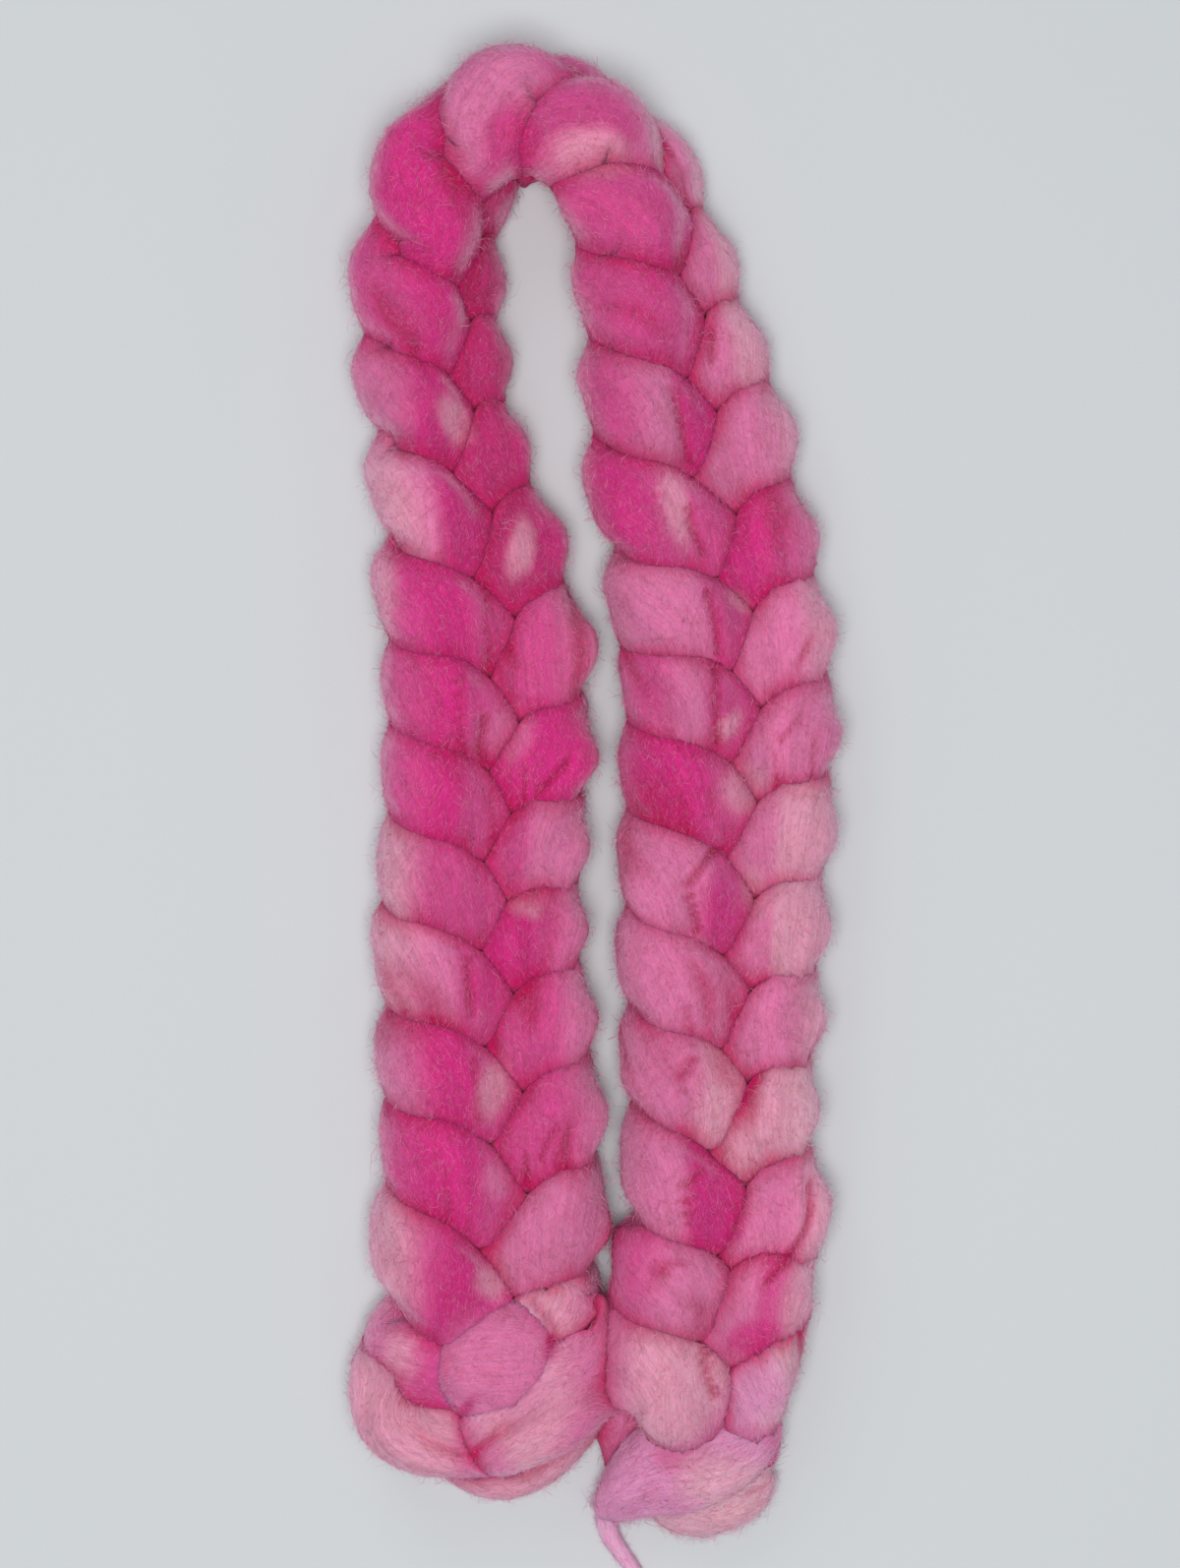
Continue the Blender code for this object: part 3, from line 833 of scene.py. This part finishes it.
def off_fold(fold, surface):
    """How far points are from a fold in plan, in millimetres."""
    line = along(fold, np.linspace(0, len(fold) - 1, 30)) * MM - MIDDLE[:2]
    away = np.full(surface.shape[:2], 1.0)
    for point in line:
        away = np.minimum(away, np.hypot(surface[..., 0] - point[0], surface[..., 1] - point[1]))
    return away / MM


def woollen_surface(body, met, shift):
    """A body's skin, pressed against its neighbours, puffed, seamed and folded.

    Gives its points, and how deep in a seam or a fold each of them lies.
    """
    lift = FILL * np.clip((1 + NEAR - met) / (NEAR - FILL), 0, 1) ** 2
    crease = NOTCH * np.exp(-((met - 1.12) / 0.05) ** 2)
    reach = np.minimum(1.03 * met, 1 + lift) - crease
    surface = body.middle[:, None] + reach[..., None] * body.rays
    shape = (met.shape[0], met.shape[1] - 1)
    puffs = 0.8 * soft_noise(shape, 18, 16) + 0.35 * soft_noise(shape, 9, 7)
    locks = 0.35 * twisted(soft_noise(shape, 39, 5), shift)
    seams = np.exp(-(twisted(soft_noise(shape, 66, 12), shift) / SEAM_WIDTH) ** 2)
    seams = seams * smooth_step(soft_noise(shape, 21, 12), 0.0, 0.7)
    relief = wrapped(puffs + locks - SEAM_DEPTH * seams) * MM
    bare = smooth_step(met, 1.0, 1.35)
    normals = normals_of(surface)
    surface = surface + (relief * (0.25 + 0.75 * bare))[..., None] * normals
    folds = np.zeros(met.shape)
    for depth, lines in FOLDS.items():
        for line in lines:
            near_line = np.exp(-(off_fold(line, surface) / FOLD_WIDTH) ** 2)
            folds = np.maximum(folds, depth * near_line)
    facing_up = smooth_step(normals[..., 2], 0.1, 0.5)
    folds = folds * facing_up * smooth_step(surface[..., 2], 0.015, 0.025)
    surface = surface - (folds * MM)[..., None] * normals
    low = 0.3 * MM
    height = surface[..., 2]
    settled = low + MM * np.logaddexp(0, (height - low) / MM)
    surface[..., 2] = np.where(height > SETTLED * MM, height, settled)
    surface[0] = surface[0, :-1].mean(axis=0)
    surface[-1] = surface[-1, :-1].mean(axis=0)
    surface[:, -1] = surface[:, 0]
    return surface, np.maximum(wrapped(seams) * bare, np.minimum(0.8 * folds, 1))


# The dye, charted lobe by lobe.  A strand lies outermost for half of each three
# crossings, first along the plait's left edge and then along its right one,
# and each such lobe has a row: the crossing at which it begins, its shades at the
# plait's middle line, between, and at the plait's edge, and how far out from the
# middle line the first of them reaches.
Lobe = namedtuple("Lobe", "number shades reach", defaults=(0.4,))
LEFT_LOBES = [
    Lobe(-1, "light blush blush", 0.3),
    Lobe(0, "rose rose light", 0.3),
    Lobe(1, "deep rose blush", 0.5),
    Lobe(2, "rose deep rose", 0.2),
    Lobe(3, "rose deep light", 0.2),
    Lobe(4, "rose light blush", 0.3),
    Lobe(5, "rose rose blush", 0.3),
    Lobe(6, "rose deep rose", 0.25),
    Lobe(7, "rose deep rose", 0.3),
    Lobe(8, "rose deep rose", 0.2),
    Lobe(9, "deep light blush", 0.45),
    Lobe(10, "deep deep light", 0.35),
    Lobe(11, "deep deep rose", 0.3),
    Lobe(12, "deep deep deep", 0.3),
    Lobe(13, "deep rose light", 0.45),
    Lobe(14, "blush light rose", 0.35),
    Lobe(15, "rose rose rose", 0.35),
    Lobe(16, "rose rose rose", 0.3),
    Lobe(17, "deep light rose", 0.3),
    Lobe(18, "rose rose deep", 0.3),
    Lobe(19, "rose light light", 0.3),
    Lobe(20, "rose light rose", 0.3),
    Lobe(21, "rose deep deep", 0.3),
    Lobe(22, "rose light light", 0.3),
    Lobe(23, "light light light"),
    Lobe(24, "blush light light", 0.35),
    Lobe(25, "deep light light", 0.45),
    Lobe(26, "light light rose", 0.45),
    Lobe(27, "blush blush light"),
    Lobe(28, "rose light light"),
]
RIGHT_LOBES = [
    Lobe(-2, "blush blush blush"),
    Lobe(-1, "blush blush light"),
    Lobe(0, "blush blush light"),
    Lobe(1, "light light light"),
    Lobe(2, "rose rose light"),
    Lobe(3, "rose rose light"),
    Lobe(4, "deep rose light"),
    Lobe(5, "rose light light"),
    Lobe(6, "deep deep deep"),
    Lobe(7, "rose rose light"),
    # Lobes 8 to 12 lie on the top bend's inner side, and wine paints its shade.
    Lobe(8, "wine wine deep"),
    Lobe(9, "wine wine deep"),
    Lobe(10, "wine wine wine"),
    Lobe(11, "wine wine wine"),
    Lobe(12, "wine wine wine"),
    Lobe(13, "rose rose lilac"),
    Lobe(14, "light blush blush"),
    Lobe(15, "light blush blush"),
    Lobe(16, "light blush blush"),
    Lobe(17, "light light blush"),
    Lobe(18, "deep rose light"),
    Lobe(19, "light light blush"),
    Lobe(20, "light light light"),
    Lobe(21, "light blush blush"),
    Lobe(22, "light blush blush"),
    Lobe(23, "light light blush"),
    Lobe(24, "blush blush pale"),
    Lobe(25, "light light blush"),
    Lobe(26, "light rose blush"),
    Lobe(27, "light lilac pale"),
]
# Smaller patches, where the dye took differently, and two of wine that paint the
# crease shade beside the tucked end: their middles in plan, half their length
# and width, and how far they lean clockwise from the y axis.
Patch = namedtuple("Patch", "x y length width dye lean", defaults=(0,))
PATCHES = [
    Patch(-27, 221, 15, 12, "deep"),
    Patch(-1, 219, 8, 15, "blush"),
    Patch(-46, 130, 9, 5, "blush", -30),
    Patch(-25, 87, 11, 5, "blush", 10),
    Patch(-71, 71, 16, 5, "blush"),
    Patch(-28, 26, 9, 8, "light"),
    Patch(-23, -32, 7, 3, "blush", -75),
    Patch(-35, -58, 10, 6, "deep", 10),
    Patch(-34, -94, 11, 6, "blush", 15),
    Patch(-33, -124, 7, 5, "light"),
    Patch(-34, -158, 7, 6, "blush"),
    Patch(-65, -183, 9, 6, "blush"),
    Patch(23, 181, 8, 4, "deep", 10),
    Patch(36, 127, 12, 4, "deep"),
    Patch(27, 101, 14, 5, "blush", -10),
    Patch(49, 70, 6, 3, "blush", -50),
    Patch(45, 28, 7, 3, "blush", 40),
    Patch(51, 7, 9, 8, "blush"),
    Patch(54, -27, 9, 5, "blush", -10),
    Patch(42, -35, 14, 7, "deep", -10),
    Patch(47, -98, 13, 9, "blush"),
    Patch(43, -136, 12, 8, "deep"),
    Patch(24, -190, 16, 15, "blush"),
    Patch(54, -177, 5, 12, "deep", -15),
    Patch(55, -197, 9, 13, "lilac", -10),
    Patch(29, -218, 6, 9, "light"),
    Patch(45, -228, 12, 15, "pale", -10),
    Patch(61, -213, 7, 4, "light", -20),
    Patch(-32, -185, 19, 18, "light"),
    # Painted shade: wine in the creases at the tucked end's upper right and lower left.
    Patch(-14, -181, 2.5, 5, "wine", -75),
    Patch(-43, -201, 2.5, 6, "wine", -50),
]
# Folds within the lobes: their lines in plan by how deep they are, in millimetres.
FOLDS = {
    0.7: [[(-35, 6), (-34, -15)]],
    0.8: [[(-36, 76), (-35, 46)], [(69, 31), (63, 24)], [(31, -65), (32, -74)]],
    1.0: [[(-45, 45), (-44, 19)], [(-40, -84), (-38, -104)], [(-13, -107), (-18, -117)],
          [(-20, -166), (-14, -173), (-15, -178)], [(40, 161), (40, 151)], [(73, 58), (69, 49)],
          [(39, 6), (40, -2)]],
    1.4: [[(33, -83), (30, -87), (29, -93)], [(35, -120), (31, -128), (31, -138)],
          [(37, -182), (38, -189), (41, -197)]],
    1.7: [[(-36, 31), (-38, 21), (-36, 16)], [(-8, 17), (-18, 6)], [(-42, -50), (-41, -68)],
          [(27, 140), (29, 131), (32, 117)], [(32, 101), (33, 94), (37, 86)],
          [(38, 73), (41, 63), (42, 53)], [(41, 48), (41, 34), (42, 23)],
          [(28, -151), (24, -153), (22, -161)], [(73, -125), (72, -139), (64, -152), (57, -159)]],
    1.9: [[(41, -14), (35, -19), (32, -28), (35, -40)]],
}


class Plait:
    """The plait's middle line, its edge direction and its half width, by crossing."""

    def __init__(self):
        places = along(PLACES, np.linspace(0, len(PLACES) - 1, 20 * len(PLACES)))
        middle = places[:, :3] * MM - MIDDLE
        ahead = unit(np.gradient(middle, axis=0))
        left = unit(np.cross([0, 0, 1], ahead))
        roll = np.radians(places[:, 4:5])
        edge = np.cos(roll) * left + np.sin(roll) * np.cross(ahead, left)
        half_width = (places[:, 5:6] + HALF_THICKNESS) * MM
        self.crossing = places[:, 3]
        self.table = np.hstack([middle, edge, half_width])

    def outward(self, crossings, points):
        """Where points lie between the middle line, 0, and the left edge, 1."""
        read = np.column_stack([np.interp(crossings, self.crossing, column)
                                for column in self.table.T])[:, None]
        return np.sum((points - read[..., :3]) * read[..., 3:6], axis=2) / read[..., 6]


def dyed(strand, surface, outward, ragged):
    """The colour of every point of a strand, from the charts of lobes and patches: dye, with wine as
    painted shade.
    """
    crossing = strand.crossing[:, None] + 0.6 * ragged
    colour = np.zeros((*outward.shape, 3))
    total = np.zeros(outward.shape)
    for lobes, side, offset in ((LEFT_LOBES, 1, 0.0), (RIGHT_LOBES, -1, 0.5)):
        for lobe in lobes:
            if (lobe.number + strand.number) % STRANDS != (0 if side == 1 else 1):
                continue
            middle, between, edge = (DYES[shade] for shade in lobe.shades.split())
            begin = lobe.number + offset
            weight = (smooth_step(crossing, begin - 0.08, begin + 0.08)
                      * (1 - smooth_step(crossing, begin + 1.42, begin + 1.58)))
            out = np.clip(side * outward, 0, 1) + ragged
            shade = mixed(between, edge, smooth_step(out, 0.50, 0.95))
            near_middle = 1 - smooth_step(out, lobe.reach - 0.10, lobe.reach + 0.10)
            shade = mixed(shade, middle, near_middle)
            colour += shade * weight[..., None]
            total += weight
    blank = np.clip(1 - total, 0, 1)[..., None]
    colour = (colour + blank * np.array(DYES["light"])) / (total[..., None] + blank)
    return patched(colour, surface, ragged)


def patched(colour, surface, ragged):
    """Adds the smaller patches of dye, and of wine painted as crease shade."""
    for patch in PATCHES:
        lean = math.radians(patch.lean)
        right, up = np.moveaxis((surface + MIDDLE)[..., :2] / MM - [patch.x, patch.y], -1, 0)
        lengthwise = (up * math.cos(lean) + right * math.sin(lean)) / patch.length
        crosswise = (right * math.cos(lean) - up * math.sin(lean)) / patch.width
        off = np.hypot(lengthwise, crosswise) + 3.0 * ragged
        share = (1 - smooth_step(off, 0.5, 1.35)) * smooth_step(surface[..., 2], 0.003, 0.010)
        colour = mixed(colour, DYES[patch.dye], 0.80 * share)
    return colour


def paint_light_and_shade(colours, surface, met, seams, depth=0.95, rim=0.65):
    """Painted light and shade: pale light on the wool's sides, crimson shade in creases, seams and
    folds.
    """
    normals = normals_of(surface)
    painted_side_light = smooth_step(1 - normals[..., 2], 0.25, 0.9) * smooth_step(met, 1.25, 1.55)
    # The painted pale side light is fainter on the right leg's inner side, which is painted as lying
    # in the left leg's shade.
    shaded = (surface[..., 0] > 0) * smooth_step(-normals[..., 0], -0.5, 0.4)
    colours = mixed(colours, PALE, rim * (1 - 0.6 * shaded) * painted_side_light)
    # Painted shade: crimson where bodies press together, and in seams and folds.
    crease = 1 - smooth_step(met, 1.0, 1.58)
    return mixed(colours, CREASE_SHADE, np.clip(depth * crease + 0.7 * seams, 0, 1))


# The band's bends, like the strands' own.  The tucked end, the band and the haze
# lie on the strands at the braid's ends, and press into them.
BAND = [
    Bend(57, -201, 14, 10, 6),
    Bend(49.5, -211, 16, 14.5, 7.5),
    Bend(37, -219.5, 17, 16.5, 8),
    Bend(23.5, -225.5, 15, 15.5, 8),
    Bend(13.5, -232, 11, 11.5, 7),
    Bend(7.2, -238.3, 6.3, 7.2, 5.2),
    Bend(5, -243.5, 4.4, 4.8, 4),
]
FIBRE_TURN = math.radians(54)   # how far the fibres lean from a strand's own run
TURNED_OVER = 13.5              # the crossing past which the plait shows its other face
BALL_ROWS = 81
FUZZ_COUNT, STRAYS_COUNT = 30000, 9500      # for each strand
strands = [Strand(number) for number in range(STRANDS)]
plait = Plait()
tucked_end = Ball((-32, -185.5, 28.5), (20, 18.5, 13.5), (1, 0.5))
band = Lock(bend_rows(BAND, 0), BALL_ROWS)
haze = Ball((39, -231, 8.5), (22.5, 16.5, 9.8), (-1, -0.25))

for strand in strands:
    plaited = met_at(strand, [other for other in strands + [band] if other is not strand])
    met = np.minimum(plaited, met_at(strand, [tucked_end, haze]))
    girth = np.linalg.norm(np.diff(strand.rays, axis=1), axis=2).sum(axis=1).max()
    turn = 2 * math.pi * (strand.crossing + strand.number) / STRANDS
    in_plait = (strand.crossing > PLAITED[0] - 0.6) & (strand.crossing < PLAITED[1] + 0.9)
    lead = np.where(strand.crossing < TURNED_OVER, 0.5, -0.5)
    side = np.sign(np.sin(turn + lead)) * in_plait
    lean = -FIBRE_TURN * np.convolve(side, np.ones(21) / 21, mode="same")
    shift = -np.cumsum(np.tan(lean) * strand.length / SECTIONS / girth * COLUMNS)
    surface, seams = woollen_surface(strand, met, shift)
    shape = (SECTIONS, COLUMNS)
    ragged = wrapped(0.06 * twisted(soft_noise(shape, 30, 8), shift)
                     + 0.04 * twisted(soft_noise(shape, 21, 4), shift))
    outward = plait.outward(strand.crossing, surface)
    colours = dyed(strand, surface, outward, ragged)
    tint = wrapped(twisted(soft_noise(shape, 45, 5), shift))[..., None]
    colours = colours * (1 + 0.10 * tint)
    # Painted light and shade: pale on the wool's sides, crimson where strands press together and in
    # seams and folds.
    colours = paint_light_and_shade(colours, surface, np.minimum(plaited, met + 0.25) + 1.5 * ragged, seams)
    run = wool_run(shift, SECTIONS, COLUMNS, girth / (2 * np.pi), strand.length)
    name = "strand_%d" % (strand.number + 1)
    pieces = [closed_tube(name, surface, run, colours, combed_wool, 4)]
    off_table = smooth_step(surface[..., 2], 3 * MM, 10 * MM)
    bare = smooth_step(met, 1.05, 1.35) * (0.25 + 0.75 * off_table)
    for kind, count, kinds in (("_fuzz", FUZZ_COUNT, FUZZ), ("_strays", STRAYS_COUNT, STRAYS)):
        pieces.append(stray_fibres(name + kind, surface, colours, bare, lean, count, kinds))
    for piece in pieces:
        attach(piece, "root")
        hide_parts("braid")

# The tucked end.  At the first end the roving's tail is rolled into a ball and
# pushed down into the last loop.  At the second end the strands run out in a
# band that is drawn down into the wisp, with a soft haze of wool beside it.
FELT = [
    Stray(0.60, 5.0, 0.4, 0.5, 90, 1),      # tangled fibres on the tucked end
    Stray(0.40, 5.0, 1.0, 1.5, 90, 1),
]
FRINGE = [
    Stray(0.60, 4.0, 0.8, 2.2, 40, 0),
    Stray(0.40, 9.0, 1.0, 3.0, 30, 1),      # long fibres that trail past the wool
]
# The band and the haze run into each other, so they don't press on each other,
# but no fibres grow where they meet.
# depth sets how strong the painted crease shade is, and rim how strong the painted pale light on the
# sides.
for name, body, blends_with, dye, depth, rim, kinds, count in (
        ("tucked_end", tucked_end, [], "light", 0.45, 0.1, FELT, 420),
        ("band", band, [haze], "lilac", 0.25, 0.5, FRINGE, 1300),
        ("haze", haze, [band], "pale", 0.10, 0.8, FRINGE, 1400)):
    pressing = strands if body is tucked_end else strands + [tucked_end]
    met = met_at(body, pressing)
    open_at = np.minimum(met, met_at(body, blends_with))
    shift = np.linspace(0, COLUMNS / 4, BALL_ROWS)
    surface, seams = woollen_surface(body, met, shift)
    ragged = wrapped(0.08 * twisted(soft_noise((BALL_ROWS, COLUMNS), 14, 6), shift))
    colours = patched(np.tile(DYES[dye], (*met.shape, 1)), surface, ragged)
    colours = paint_light_and_shade(colours, surface, met + 1.5 * ragged, seams, depth, rim)
    run = wool_run(shift, BALL_ROWS, COLUMNS, 0.016, 0.05)
    wool = closed_tube(name, surface, run, colours, combed_wool)
    fibres = stray_fibres(name + "_fibres", surface, colours, smooth_step(open_at, 1.05, 1.35),
                          np.zeros(BALL_ROWS), count, kinds)
    for piece in (wool, fibres):
        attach(piece, "root")
        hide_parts("braid")
